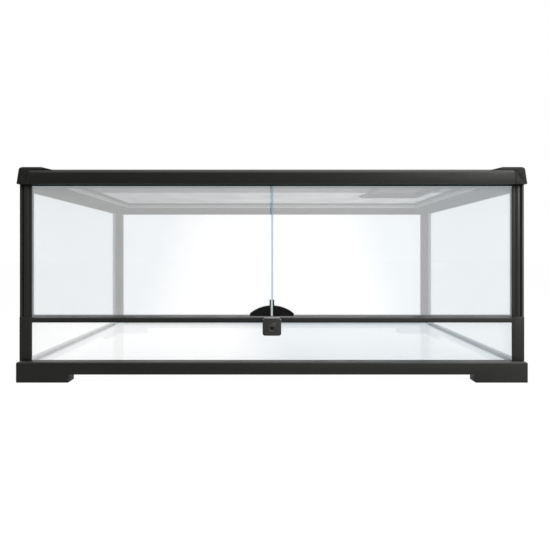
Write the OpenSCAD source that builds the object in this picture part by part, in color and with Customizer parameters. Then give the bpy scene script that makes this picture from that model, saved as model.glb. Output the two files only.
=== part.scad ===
// Front-opening glass terrarium: glass panels in black moulded rails and posts, two hinged
// glass doors over a fixed lower window, a sliding door lock, and a lift-off screen top
// with a hinged feeding hatch. Front faces -Y, the feet stand on Z = 0.

/* [Tank] */
// Width over the base
tank_w = 900; // [700:10:1200]
// Depth over the base
tank_d = 450; // [400:10:600]
// Height over the raised top corners
tank_h = 381; // [320:1:600]

/* [Glass] */
// Thickness of the fixed panels
glass_t = 4; // [3:0.5:5]
// Thickness of the doors
door_glass_t = 4; // [3:0.5:4.5]
// Leg of the silicone beads in the corners
bead_leg = 5; // [3:0.5:8]

/* [Base] */
// Height of the corner feet
foot_h = 14; // [8:1:25]
// Length of each leg of a foot
foot_len = 92; // [60:1:120]
// Width of a foot's leg under the front and the back
foot_w = 21; // [16:1:28]
// Wall of the hollow feet
foot_wall = 3; // [2:0.5:4]
// Height of the base rails above the feet
base_rail_h = 21.7; // [18:0.1:30]
// Outer wall of the base rails
base_wall = 4.5; // [4:0.25:5]
// Width of the ledge that carries the glass
base_ledge_w = 13; // [13:0.5:20]
// Width of the front ledge, behind the window too
front_ledge_w = 30; // [30:1:40]
// Thickness of the ledge and of the skirt under its edge
base_ledge_t = 3; // [2:0.5:4]
// Depth of the ledge below the rail's top edge
base_ledge_drop = 11.7; // [8:0.1:14]
// Chamfer along the rail's top edge
base_chamfer = 1.2; // [0.5:0.1:2]

/* [Posts] */
// Set-back of the posts from the base's sides
post_inset = 0.6; // [0.4:0.1:1.5]
// Set-back of the front posts from the base's front
post_set_back = 9; // [6:0.5:12]
// Step back of the front posts above the seam under the door hinges
post_step = 1; // [0:0.25:2]
// Width of a corner post, seen from the front
corner_w = 21.5; // [21:0.5:26]
// Depth of a corner post, seen from the side
corner_d = 30; // [29:0.5:34]
// Width of a front post behind the doors' hinges
jamb_w = 13; // [12.5:0.25:15]
// Wall of the posts behind the glass
post_wall = 2.5; // [2:0.25:3]
// Depth of the groove in a post for a panel's edge
post_groove = 6; // [4:0.5:8]

/* [Lower window] */
// Clear height of the lower window
window_h = 68.4; // [40:0.1:120]
// Set-back of the window glass from the base's front
window_set_back = 18; // [18:0.5:19]
// Lip behind the foot of the window glass
window_lip = 3; // [2:0.5:4]
// Height of the middle rail
mid_rail_h = 8.5; // [8:0.5:12]
// Depth of the middle rail
mid_rail_d = 26; // [20:0.5:32]
// Depth of the window glass in the middle rail and in the posts
mid_groove = 4; // [3:0.5:5]
// Chamfer along the middle rail's top edge
mid_chamfer = 0.8; // [0.4:0.1:1.2]
// Step from the middle rail up to the seam under the door hinges
seam_rise = 1.6; // [0:0.1:2]

/* [Top frame] */
// Height of the front top rail
top_rail_h = 27; // [24:0.5:36]
// Extra height of the side and back rails, which grip the glass
top_skirt = 10; // [6:0.5:16]
// Rounding along the rails' outer top edge
top_round = 9; // [6:0.5:11]
// Wall of the rails
top_wall = 3; // [2:0.25:3]
// Distance from the base's outline to the well that the screen lies in
well_in = 25; // [25:0.5:30]
// Distance from the base's outline to the edge of the ledge under the screen
top_ledge_in = 52; // [44:1:56]
// Height of the bead along that edge
top_bead_h = 8; // [5:0.5:10]
// Height of the raised pads on the top corners
pad_h = 4.3; // [2:0.1:6]
// Length of a pad from the base's outline to its slope
pad_len = 39; // [34:1:50]
// Length of the slope at a pad's end
pad_slope = 17; // [8:1:24]
// Height over which the pads lap the rails' rounded edges
pad_lap = 1.5; // [0.5:0.25:3]
// Draft of the corners' outer faces over their height
corner_draft = 2.3; // [0.1:0.1:3]
// Set-back of the corners' outer faces at the bottom
cap_inset = 0.6; // [0.4:0.1:1.2]
// Distance from the base's side to the dent in a cap's front
scoop_side = 14; // [9:0.5:15]
// Distance from the rails' top down to the dent's middle
scoop_drop = 12; // [8:0.5:14]
// Lean of the dent towards the tank's middle
scoop_lean = 25; // [0:1:40]
// Depth of the dent
scoop_deep = 1; // [0.25:0.25:1.5]
// Radius across the dent
scoop_r = 6; // [3:0.5:8]
// Radius along the dent
scoop_ring = 26; // [20:1:40]
// Depth of the lip that the closed doors meet
door_stop_h = 5; // [4:0.5:8]

/* [Doors] */
// Gap under the doors
door_gap_low = 2.7; // [1.5:0.1:4]
// Gap over the doors
door_gap_top = 2.2; // [1:0.1:3]
// Gap between the doors' free edges
door_gap_mid = 4.8; // [3:0.1:6]
// Gap between a hinge profile and what is above and below it
hinge_gap = 0.5; // [0.3:0.1:1]
// Radius of the hinge profile's round back
hinge_r = 6; // [5:0.25:6]
// Thickness of the hinge profile where it grips the glass
hinge_t = 8; // [7:0.25:8.5]
// Depth of the glass in the hinge profile
hinge_grip = 7; // [5:0.5:8]
// Radius of the hinge pins
pin_r = 2; // [1.5:0.1:2.5]
// Length of a pin in the frame
pin_out = 7.5; // [5:0.5:9]
// Length of a pin in the hinge profile
pin_in = 12; // [8:0.5:20]
// Thickness of the clear seal between the doors
seal_t = 3; // [2:0.25:3.5]
// Gap between the seal and the other door
seal_gap = 0.4; // [0.3:0.05:0.6]

/* [Door handles] */
// Width of the pair of handles
handle_pair_w = 78; // [60:1:100]
// Height of a handle at the seam
handle_h = 19.3; // [16:0.1:26]
// Height of a handle at its outer end
handle_end_h = 5.4; // [4:0.1:10]
// Thickness of a handle's plate
handle_t = 2.5; // [2:0.25:3.5]
// Reach of the handle's curved rim in front of the plate
handle_rim = 4.5; // [3:0.5:6]
// Thickness of the rim
handle_rim_t = 2.4; // [1.6:0.1:3]
// Height of the channel that grips the glass edge
clip_h = 29; // [24:0.5:40]
// Width of that channel on the glass
clip_w = 1.8; // [1.5:0.1:4]
// Wall of that channel
clip_t = 0.8; // [0.6:0.1:1]

/* [Door lock] */
// Width of the lock block
lock_w = 33; // [28:0.5:40]
// Height of the lock block
lock_h = 32.5; // [30:0.5:38]
// Wall of the lock block
lock_wall = 3; // [2.5:0.25:3.5]
// Rounding of the block's lower corners
lock_round = 4.5; // [1:0.5:6]
// Shoulders beside the tongue at the block's top
lock_shoulder = 3; // [1:0.25:3.5]
// Bevel along the block's top edge
lock_bevel = 1.7; // [0.5:0.1:2]
// Distance from the block's top down to the middle of the thumb recess
thumb_drop = 20; // [19:0.5:21]
// Width of the thumb recess at its top
thumb_w = 9.6; // [7:0.2:12]
// Height of the thumb recess
thumb_h = 7.5; // [6:0.5:9]
// Depth of the thumb recess
thumb_deep = 2; // [1:0.25:2.25]
// Height of the finger ridge above the recess
ridge_h = 4; // [2:0.25:5]
// Reach of that ridge
ridge_out = 0.8; // [0.4:0.1:0.8]
// Travel of the block up to its locked place
lock_travel = 4.5; // [3.5:0.25:5]
// Width of the bracket inside the block
bracket_w = 22; // [18:0.5:24]
// Thickness of the bracket
bracket_t = 2.5; // [2:0.25:3]
// Width of the hooks behind the bracket
hook_w = 3; // [2:0.25:3.5]
// Thickness of the hooks
hook_t = 1.5; // [1:0.25:2]
// Radius of the bracket's screws
screw_r = 1.5; // [1:0.1:2]
// Spacing of the bracket's screws
screw_pitch = 13; // [8:0.5:14]

/* [Screen top] */
// Height of the screen frame's outer wall
screen_h = 12; // [10:0.5:14]
// Depth of the screen frame below the rails' top
screen_recess = 2.7; // [1:0.1:5]
// Distance from the base's outline to the edge of the mesh
mesh_in = 61; // [58:1:70]
// Thickness of the screen frame
screen_t = 3; // [2:0.5:4]
// Thickness of the woven mesh
mesh_t = 0.8; // [0.6:0.1:1.2]
// Overlap of the mesh on the frame
mesh_lap = 12; // [8:0.5:14]
// Height of the strip that holds the mesh down
strip_h = 2.5; // [1.5:0.25:3]
// Width of that strip
strip_w = 9; // [6:0.5:12]
// Openings of the mesh across the width
mesh_across = 12; // [8:1:12]
// Openings of the mesh over the depth
mesh_deep = 6; // [4:1:8]
// Width of the webs between those openings
mesh_web = 3; // [2:0.5:5]

/* [Feeding hatch] */
// Width of the hatch
hatch_w = 128; // [100:1:160]
// Depth of the hatch
hatch_d = 185; // [120:1:200]
// Distance from the base's right side to the hatch's free side
hatch_side = 100; // [100:1:180]
// Distance from the base's front to the hatch's front edge
hatch_front = 80; // [76:1:110]
// Width of the hatch's frame
hatch_rim = 8; // [7:0.5:12]
// Openings of the hatch's mesh across the width
hatch_across = 3; // [2:1:6]
// Openings of the hatch's mesh over the depth
hatch_deep = 4; // [2:1:8]
// Thickness of the hatch's frame
hatch_t = 4; // [3:0.5:4]
// Overlap of the hatch's mesh on its frame
hatch_lap = 3; // [2:0.25:3.5]
// Height of the curb round the hatch opening
curb_h = 6; // [5:0.5:6.5]
// Width of that curb
curb_w = 4.5; // [4:0.5:6]
// Radius of the hatch's hinge knuckles
knuckle_r = 3; // [2.5:0.25:3]
// Length of a hinge knuckle
knuckle_len = 14; // [10:1:20]
// Distance from the hatch's corners to its hinge knuckles
knuckle_edge = 12; // [8:1:20]
// Thickness of the lugs beside a knuckle
lug_t = 3; // [2:0.25:4]
// Radius of the hatch's hinge pins
hatch_pin_r = 1.2; // [1:0.1:1.4]
// Length of the turn button
button_len = 24; // [20:1:30]
// Width of the turn button
button_w = 9; // [8:0.5:10]
// Thickness of the turn button
button_t = 2.5; // [2:0.25:3]
// Radius of the turn button's pivot
button_pin_r = 2; // [1.5:0.1:2.5]

/* [Fits] */
// Radial clearance of a pin in its hole
pin_fit = 0.05; // [0.02:0.01:0.1]
// Gap between the lock block and its bracket
slide_fit = 0.3; // [0.3:0.05:0.5]
// Gap round the screen frame in its well
screen_fit = 0.5; // [0.3:0.1:1]
// Gap between a moving part and the part that it lies over
lay_fit = 0.3; // [0.3:0.05:0.5]
// Gap round the hinge profiles and behind the doors
swing_fit = 0.6; // [0.5:0.05:0.8]
// Gap over the top edge of a fixed panel
panel_room = 1; // [0.5:0.1:2]

/* [Hidden] */
$fn = 64;
long = 2 * (tank_w + tank_d);
eps = 0.02;
// Reach of a cut past the face that it opens
past = 1;

// Heights
base_top = foot_h + base_rail_h;
ledge_z = base_top - base_ledge_drop;
mid_z = base_top + window_h;
mid_top = mid_z + mid_rail_h;
seam_z = mid_top + seam_rise;
rail_top = tank_h - pad_h;
front_top_z = rail_top - top_rail_h;
skirt_z = front_top_z - top_skirt;
screen_z = rail_top - screen_recess - screen_h;
screen_ledge_z = screen_z - top_wall;
floor_top = ledge_z + glass_t;
door_z = mid_top + door_gap_low;
door_top = front_top_z - door_gap_top;
wall_glass_top = screen_ledge_z - panel_room;

// Distances inward from the base's outline
glass_in = base_wall;
glass_back = glass_in + glass_t;
hinge_y = post_set_back + hinge_r;
hinge_x = glass_in + swing_fit + hinge_r;
door_front = hinge_y - door_glass_t / 2;
door_back = hinge_y + door_glass_t / 2;
jamb_in = hinge_y + hinge_r + swing_fit;
floor_front = window_set_back + glass_t + window_lip;
rail_inset = glass_in - top_wall;
plate_in = post_set_back + post_wall;
window_side = jamb_w - panel_room;
mitre_in = tank_d / 4;
foot_ribs = 3;

// Builds along one side of the base: 0 front, 90 right, 180 back, 270 left. The child is a
// section in (distance inward, height), run over the whole side and mitred at both ends.
module side_run(angle) {
    across = angle % 180 == 0 ? tank_d : tank_w;
    along = angle % 180 == 0 ? tank_w : tank_d;
    rotate([0, 0, angle]) translate([0, -across / 2, 0]) intersection() {
        rotate([90, 0, 90]) linear_extrude(along, center = true) children();
        linear_extrude(tank_h)
            mitre_area(along);
    }
}

// The area that one side of the base owns, between its two mitres
module mitre_area(along) {
    polygon([[-along / 2, 0], [along / 2, 0], [along / 2 - mitre_in, mitre_in],
             [mitre_in - along / 2, mitre_in]]);
}

// Puts a shape, drawn in distances inward from both sides, at one corner of the base
module at_corner(right, back) {
    translate([right ? tank_w / 2 : -tank_w / 2, back ? tank_d / 2 : -tank_d / 2, 0])
        flip_x(right) flip_y(back) children();
}
module flip_x(on) { if (on) mirror([1, 0, 0]) children(); else children(); }
module flip_y(on) { if (on) mirror([0, 1, 0]) children(); else children(); }

// A rectangle between two corners
module area(low, high) { translate(low) square(high - low); }
// A box between two corners
module block(low, high) { translate(low) cube(high - low); }
// The four corner squares that the posts and caps fill
module corner_squares(low, high) {
    for (right = [false, true], back = [false, true])
        at_corner(right, back) block([-past, -past, low], [corner_w, corner_d, high]);
}

// ---------------------------------------------------------------- base
module base_section(ledge_w) {
    skirt_in = ledge_w - base_ledge_t;
    polygon([
        [0, foot_h], [base_wall, foot_h], [base_wall, ledge_z - base_ledge_t],
        [skirt_in, ledge_z - base_ledge_t], [skirt_in, foot_h], [ledge_w, foot_h],
        [ledge_w, ledge_z], [base_wall, ledge_z], [base_wall, base_top],
        [base_chamfer, base_top], [0, base_top - base_chamfer]
    ]);
}

module base_front_section() {
    difference() {
        union() {
            base_section(front_ledge_w);
            area([base_wall - eps, ledge_z - eps], [window_set_back, base_top]);
            area([window_set_back + glass_t, ledge_z - eps], [floor_front, base_top - base_ledge_t]);
        }
        area([base_wall, ledge_z], [window_set_back - base_ledge_t, base_top - base_ledge_t]);
    }
}

// One end of a rail's foot, open below between its ribs
module foot_leg(along, leg_w) {
    rib_pitch = (foot_len - foot_w - foot_wall) / foot_ribs;
    difference() {
        block([along / 2 - foot_len, 0, 0], [along / 2, leg_w, foot_h]);
        for (i = [0 : foot_ribs - 1])
            block([along / 2 - foot_len + foot_wall + i * rib_pitch, foot_wall, -past],
                  [along / 2 - foot_len + (i + 1) * rib_pitch, leg_w - foot_wall,
                   foot_h - foot_wall]);
    }
}

module base_rail(angle) {
    along = angle % 180 == 0 ? tank_w : tank_d;
    across = angle % 180 == 0 ? tank_d : tank_w;
    leg_w = angle % 180 == 0 ? foot_w : base_ledge_w;
    color("#1d1d1c") {
        side_run(angle) if (angle == 0) base_front_section(); else base_section(base_ledge_w);
        rotate([0, 0, angle]) translate([0, -across / 2, 0]) intersection() {
            union() { foot_leg(along, leg_w); mirror([1, 0, 0]) foot_leg(along, leg_w); }
            linear_extrude(foot_h) mitre_area(along);
        }
    }
}

// ---------------------------------------------------------------- glass
module floor_glass() {
    color("#dfeaea", 0.4)
        block([glass_back - tank_w / 2, floor_front - tank_d / 2, ledge_z],
              [tank_w / 2 - glass_back, tank_d / 2 - glass_back, floor_top]);
}

module side_glass(right) {
    color("#dfeaea", 0.4) flip_x(right)
        block([glass_in - tank_w / 2, corner_d - post_groove - tank_d / 2, ledge_z],
              [glass_back - tank_w / 2, tank_d / 2 - corner_d + post_groove, wall_glass_top]);
}

module back_glass() {
    reach = tank_w / 2 - corner_w + post_groove;
    color("#dfeaea", 0.4)
        block([-reach, tank_d / 2 - glass_back, ledge_z],
              [reach, tank_d / 2 - glass_in, wall_glass_top]);
}

module window_glass() {
    reach = tank_w / 2 - window_side;
    color("#dfeaea", 0.4) translate([0, window_set_back - tank_d / 2, 0])
        block([-reach, 0, ledge_z], [reach, glass_t, mid_z + mid_groove]);
}

// Three-cornered beads in the angles between the floor glass and the walls
module bead(length) {
    rotate([90, 0, 90]) linear_extrude(length, center = true)
        polygon([[0, 0], [bead_leg, 0], [0, bead_leg]]);
}

module silicone_beads() {
    side_x = tank_w / 2 - glass_back;
    back_y = tank_d / 2 - glass_back;
    side_len = tank_d - 2 * corner_d - 2 * bead_leg;
    back_len = tank_w - 2 * corner_w - 2 * bead_leg;
    color("#202020") translate([0, 0, floor_top]) {
        translate([0, back_y, 0]) rotate([0, 0, 180]) bead(back_len);
        for (side = [-1, 1])
            translate([side * side_x, 0, 0]) rotate([0, 0, side * 90]) bead(side_len);
    }
}

// ---------------------------------------------------------------- posts
// Groove walls that grip the edge of a side glass at the rear of a post
module front_post_plan_top() {
    area([post_inset, post_set_back + post_step], [glass_in, corner_d]);
    area([glass_in - eps, jamb_in], [jamb_w, corner_d - post_groove]);
    area([glass_back, corner_d - post_groove - eps], [glass_back + post_wall, corner_d]);
}

// The plate that is seen from the front, and the splayed body behind it
module front_post_plan_body() {
    polygon([
        [post_inset, post_set_back], [corner_w, post_set_back], [corner_w, plate_in],
        [jamb_w, corner_d - post_groove], [post_inset, corner_d - post_groove]
    ]);
}

module side_glass_walls() {
    area([post_inset, corner_d - post_groove - eps], [glass_in, corner_d]);
    area([glass_back, corner_d - post_groove - eps], [glass_back + post_wall, corner_d]);
}

module post_front(right) {
    plug_z = mid_z + mid_groove;
    color("#1d1d1c") at_corner(right, false) difference() {
        union() {
            translate([0, 0, base_top]) linear_extrude(seam_z - base_top) {
                front_post_plan_body();
                side_glass_walls();
            }
            translate([0, 0, seam_z - eps]) linear_extrude(front_top_z - seam_z + eps)
                front_post_plan_top();
        }
        block([post_inset + post_wall, plate_in, base_top - past],
              [window_side - post_wall, corner_d - post_groove - post_wall,
               seam_z - pin_out - 2 * past]);
        block([window_side, window_set_back, base_top - past],
              [corner_w, window_set_back + glass_t, plug_z]);
        translate([hinge_x, hinge_y, seam_z - pin_out - past])
            cylinder(h = pin_out + 2 * past, r = pin_r + pin_fit);
    }
}

module post_back(right) {
    color("#1d1d1c") at_corner(right, true) translate([0, 0, base_top])
        linear_extrude(front_top_z - base_top) difference() {
            area([post_inset, post_inset], [corner_w, corner_d]);
            area([glass_in, corner_d - post_groove], [glass_back, corner_d + past]);
            area([corner_w - post_groove, glass_in], [corner_w + past, glass_back]);
            area([glass_back + post_wall, glass_back + post_wall],
                 [corner_w - post_wall, corner_d - post_wall]);
        }
}

// ---------------------------------------------------------------- middle rail
module mid_rail() {
    reach = tank_w / 2 - jamb_w;
    rail_back = post_set_back + mid_rail_d;
    color("#1d1d1c") translate([0, -tank_d / 2, 0]) intersection() {
        rotate([90, 0, 90]) linear_extrude(2 * reach, center = true) difference() {
            area([post_set_back, mid_z], [rail_back, mid_top]);
            area([window_set_back, mid_z - past],
                 [window_set_back + glass_t, mid_z + mid_groove]);
            area([window_set_back + glass_t + post_wall, mid_z - past],
                 [rail_back - post_wall, mid_top - post_wall]);
            translate([post_set_back, mid_top]) rotate(45)
                square(mid_chamfer * sqrt(2), center = true);
        }
        // its ends follow the splayed bodies of the posts
        linear_extrude(tank_h) polygon([
            [corner_w - tank_w / 2, 0], [tank_w / 2 - corner_w, 0],
            [tank_w / 2 - corner_w, plate_in], [reach, corner_d - post_groove],
            [reach, rail_back], [-reach, rail_back], [-reach, corner_d - post_groove],
            [corner_w - tank_w / 2, plate_in]
        ]);
    }
}

// ---------------------------------------------------------------- top frame
// Area inside a line that starts at a distance inward and rounds off at the top
module rounded_top(inward, top, radius) {
    area([inward + radius, 0], [long, top]);
    area([inward, 0], [long, top - radius]);
    translate([inward + radius, top - radius]) circle(radius);
}

// The outer wall and top skin of a rail, down to a height
module top_shell(low) {
    difference() {
        intersection() {
            rounded_top(rail_inset, rail_top, top_round);
            area([rail_inset, low], [well_in, rail_top]);
        }
        intersection() {
            rounded_top(glass_in, rail_top - top_wall, top_round - top_wall);
            area([0, 0], [well_in - top_wall, rail_top]);
        }
    }
}

// The ledge that the screen lies on, with the bead along its edge
module screen_ledge() {
    area([glass_back, screen_ledge_z], [top_ledge_in, screen_z]);
    area([top_ledge_in - top_wall, screen_z - top_bead_h], [top_ledge_in, screen_z]);
}

module top_section() {
    top_shell(skirt_z);
    area([well_in - top_wall, screen_ledge_z], [well_in, rail_top - top_wall]);
    area([glass_back, skirt_z], [glass_back + post_wall, screen_z]);
    screen_ledge();
}

module top_front_section() {
    top_shell(front_top_z);
    area([well_in - top_wall, front_top_z], [well_in, rail_top - top_wall]);
    area([rail_inset, front_top_z], [well_in, front_top_z + top_wall]);
    area([door_back + swing_fit, front_top_z - door_stop_h],
         [door_back + swing_fit + post_wall, front_top_z + top_wall]);
    area([well_in - top_wall, screen_ledge_z], [top_ledge_in, screen_z]);
    area([top_ledge_in - top_wall, screen_z - top_bead_h], [top_ledge_in, screen_z]);
}

module top_rail(angle) {
    color("#1d1d1c") difference() {
        side_run(angle) if (angle == 0) top_front_section(); else top_section();
        corner_squares(0, tank_h + past);
    }
}

// ---------------------------------------------------------------- corner caps
// Area inside a cap's drafted outer face, which turns into its top in five flats
module cap_face() {
    radius = top_round - top_wall;
    centre = [cap_inset + corner_draft + radius, tank_h - radius];
    polygon(concat(
        [[long, tank_h], [long, front_top_z], [cap_inset, front_top_z]],
        [for (turn = [180 : -18 : 90]) centre + radius * [cos(turn), sin(turn)]]));
}

// Section of a cap along one side: its body, and its pad that laps the rail and slopes off
module cap_outline(end) {
    low = rail_top - pad_lap;
    slope_end = pad_len + pad_slope * (tank_h - low) / pad_h;
    polygon([
        [0, front_top_z], [end, front_top_z], [end, low], [slope_end, low],
        [pad_len, tank_h], [0, tank_h]
    ]);
}

// The room that a rail's rounded edge takes, with flats that just touch the rounding
module rail_envelope() {
    step = 20;
    radius = top_round / cos(step / 2);
    centre = [rail_inset + top_round, rail_top - top_round];
    polygon(concat(
        [[centre[0], 0], [long, 0], [long, rail_top]],
        [for (turn = [90 + step / 2 : step : 180 - step])
            centre + radius * [cos(turn), sin(turn)]]));
}

// Leaf-shaped dent in a cap's outer face, hollowed by a ring that leans with the face
module cap_dent() {
    lift = rail_top - scoop_drop;
    translate([scoop_side, cap_inset + corner_draft / 2 - scoop_ring - scoop_r + scoop_deep,
               lift])
        rotate([0, scoop_lean, 0]) rotate([0, 90, 0])
            rotate_extrude() translate([scoop_ring, 0]) circle(scoop_r);
}

module cap(right, back) {
    color("#191918") at_corner(right, back) difference() {
        intersection() {
            union() {
                translate([0, well_in / 2, 0]) rotate([90, 0, 0])
                    linear_extrude(well_in, center = true) cap_outline(corner_w);
                translate([corner_w / 2, 0, 0]) rotate([90, 0, 90])
                    linear_extrude(corner_w, center = true) cap_outline(corner_d);
                block([0, 0, front_top_z], [corner_w, corner_d, rail_top]);
            }
            rotate([90, 0, 0]) linear_extrude(long, center = true) cap_face();
            rotate([90, 0, 90]) linear_extrude(long, center = true) cap_face();
        }
        translate([corner_w, 0, 0]) rotate([90, 0, 90])
            linear_extrude(long) rail_envelope();
        translate([0, corner_d + long, 0]) rotate([90, 0, 0])
            linear_extrude(long) rail_envelope();
        cap_dent();
        // pockets for the top corners of the glass
        block([glass_in, corner_d - post_groove, front_top_z - past],
              [glass_back, corner_d + past, wall_glass_top]);
        if (back)
            block([corner_w - post_groove, glass_in, front_top_z - past],
                  [corner_w + past, glass_back, wall_glass_top]);
        else
            translate([hinge_x, hinge_y, front_top_z - past])
                cylinder(h = pin_out + 2 * past, r = pin_r + pin_fit);
    }
}

// ---------------------------------------------------------------- doors
// A door's parts are drawn for the left door and mirrored for the right
module door_glass(right) {
    color("#dfeaea", 0.4) flip_x(right) translate([-tank_w / 2, -tank_d / 2, 0])
        block([corner_w - hinge_grip, door_front, door_z],
              [tank_w / 2 - door_gap_mid / 2, door_back, door_top]);
}

module hinge_profile(right) {
    low = seam_z + hinge_gap;
    high = front_top_z - hinge_gap;
    color("#1d1d1c") at_corner(right, false) difference() {
        translate([0, 0, low]) linear_extrude(high - low) difference() {
            union() {
                translate([hinge_x, hinge_y]) circle(hinge_r);
                area([hinge_x, hinge_y - hinge_t / 2],
                     [corner_w - swing_fit, hinge_y + hinge_t / 2]);
            }
            area([corner_w - hinge_grip, door_front], [corner_w + past, door_back]);
        }
        for (z = [low - past, high - pin_in])
            translate([hinge_x, hinge_y, z]) cylinder(h = pin_in + past, r = pin_r);
    }
}

module hinge_pins(right) {
    low = seam_z + hinge_gap;
    high = front_top_z - hinge_gap;
    color("#b9bcbf") at_corner(right, false) translate([hinge_x, hinge_y, 0]) {
        translate([0, 0, seam_z - pin_out])
            cylinder(h = pin_out + hinge_gap + pin_in, r = pin_r);
        translate([0, 0, high - pin_in])
            cylinder(h = pin_out + hinge_gap + pin_in, r = pin_r);
    }
}

// Half-moon finger grip: a plate on the glass, a rim along its curve, and the channel that
// grips the glass edge beside the seam
module handle(right) {
    half = handle_pair_w / 2;
    rise = handle_h - handle_end_h;
    arc_r = (half * half + rise * rise) / (2 * rise);
    arc_z = handle_h - arc_r;
    edge = door_gap_mid / 2;
    plate_y = door_front - handle_t;
    color("#171716") flip_x(right) translate([0, -tank_d / 2, door_z]) {
        translate([0, door_front, 0]) rotate([90, 0, 0]) {
            linear_extrude(handle_t) intersection() {
                translate([0, arc_z]) circle(arc_r);
                area([-half, 0], [-edge + clip_t, handle_h]);
            }
            translate([0, 0, handle_t - eps]) linear_extrude(handle_rim + eps) intersection() {
                difference() {
                    translate([0, arc_z]) circle(arc_r);
                    translate([0, arc_z]) circle(arc_r - handle_rim_t);
                }
                area([-half, 0], [-edge + clip_t, handle_h]);
            }
        }
        difference() {
            block([-edge - clip_w, door_front - clip_t, 0],
                  [-edge + clip_t, door_back + clip_t, clip_h]);
            block([-edge - clip_w - past, door_front, -past],
                  [-edge, door_back, clip_h + past]);
        }
    }
}

// Clear lip on the right door's free edge, which closes the seam between the doors
module door_seal() {
    edge = door_gap_mid / 2;
    free_edge = clip_t + seal_gap - edge;
    color("#cfe6ee", 0.7) translate([0, hinge_y - tank_d / 2, 0]) {
        block([free_edge, -seal_t / 2, door_z + clip_h - eps], [edge, seal_t / 2, door_top]);
        block([free_edge, -seal_t / 2, door_z],
              [edge - clip_t, seal_t / 2, door_z + clip_h]);
    }
}

// ---------------------------------------------------------------- door lock
lock_top = door_z - hinge_gap;
lock_back = post_set_back - slide_fit;
screw_head_r = 1.8 * screw_r;
screw_head_h = 0.8 * screw_r;
lock_front = lock_back - lock_wall - bracket_t - screw_head_h - 3 * slide_fit;
plate_top = mid_top - bracket_t;
plate_low = lock_top - lock_h + lock_wall + lock_travel + slide_fit;
screw_z = plate_top - 2 * screw_r;
hook_top = mid_z - lock_travel - 2 * slide_fit;

module lock_bracket() {
    color("#2a2a29") translate([0, -tank_d / 2, 0]) difference() {
        block([-bracket_w / 2, post_set_back - bracket_t, plate_low],
              [bracket_w / 2, post_set_back, plate_top]);
        for (side = [-1, 1])
            translate([side * screw_pitch / 2, 0, screw_z]) rotate([-90, 0, 0])
                cylinder(h = post_set_back + past, r = screw_r);
    }
}

module lock_screws() {
    color("#c6c8ca")
        for (side = [-1, 1])
            translate([side * screw_pitch / 2, post_set_back - tank_d / 2, screw_z])
                rotate([90, 0, 0]) {
                cylinder(h = bracket_t, r = screw_r);
                translate([0, 0, bracket_t])
                    cylinder(h = screw_head_h, r1 = screw_head_r, r2 = screw_r);
            }
}

module lock_outline() {
    half = lock_w / 2;
    low = lock_top - lock_h;
    shoulder = half - lock_shoulder;
    polygon([
        [-shoulder, lock_top], [shoulder, lock_top], [shoulder, lock_top - lock_shoulder],
        [half, lock_top - 1.5 * lock_shoulder], [half, low + lock_round],
        [half - lock_round, low], [lock_round - half, low], [-half, low + lock_round],
        [-half, lock_top - 1.5 * lock_shoulder], [-shoulder, lock_top - lock_shoulder]
    ]);
    for (side = [-1, 1])
        translate([side * (half - lock_round), low + lock_round]) circle(lock_round);
}

// The block slides up in front of the doors. Its two hooks reach behind the bracket.
module lock_block() {
    room = bracket_w / 2 + slide_fit;
    room_low = plate_low - lock_travel - slide_fit;
    hook_y = post_set_back + slide_fit;
    thumb_z = lock_top - thumb_drop;
    thumb_low_w = 0.65 * thumb_w;
    bevel = lock_bevel * sqrt(2);
    color("#2b2b2a") translate([0, -tank_d / 2, 0]) {
        difference() {
            translate([0, lock_back, 0]) rotate([90, 0, 0])
                linear_extrude(lock_back - lock_front) lock_outline();
            // room for the bracket, open to the back
            block([-room, lock_front + lock_wall, room_low],
                  [room, lock_back + past, plate_top + slide_fit]);
            // sloping top edge
            translate([0, lock_front, lock_top]) rotate([45, 0, 0])
                cube([lock_w + past, bevel, bevel], center = true);
            // thumb recess
            translate([0, lock_front + thumb_deep, 0]) rotate([90, 0, 0])
                linear_extrude(thumb_deep + past) polygon([
                    [-thumb_w / 2, thumb_z + thumb_h / 2], [thumb_w / 2, thumb_z + thumb_h / 2],
                    [thumb_low_w / 2, thumb_z - thumb_h / 2],
                    [-thumb_low_w / 2, thumb_z - thumb_h / 2]
                ]);
        }
        translate([0, 0, thumb_z + thumb_h / 2]) rotate([90, 0, 90])
            linear_extrude(thumb_w, center = true) polygon([
                [lock_front + eps, 0], [lock_front - ridge_out, 0],
                [lock_front - ridge_out, ridge_h / 3], [lock_front + eps, ridge_h]
            ]);
        for (right = [false, true]) flip_x(right) {
            block([-lock_w / 2, lock_back - eps, room_low],
                  [-room, hook_y + hook_t, hook_top]);
            block([-room - eps, hook_y, room_low], [hook_w - room, hook_y + hook_t, hook_top]);
        }
    }
}

// ---------------------------------------------------------------- screen top
// A flat ring between two distances inward from the base's outline
module ring(outer_in, inner_in, low, high) {
    translate([0, 0, low]) linear_extrude(high - low) difference() {
        square([tank_w - 2 * outer_in, tank_d - 2 * outer_in], center = true);
        square([tank_w - 2 * inner_in, tank_d - 2 * inner_in], center = true);
    }
}

// A flat ring round the hatch, between two distances outward from the hatch's outline
module hatch_ring(outer, inner, low, high) {
    translate([hatch_x, hatch_y - hatch_d, low]) linear_extrude(high - low) difference() {
        area([-outer, -outer], [hatch_w + outer, hatch_d + outer]);
        area([-inner, -inner], [hatch_w + inner, hatch_d + inner]);
    }
}

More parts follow.
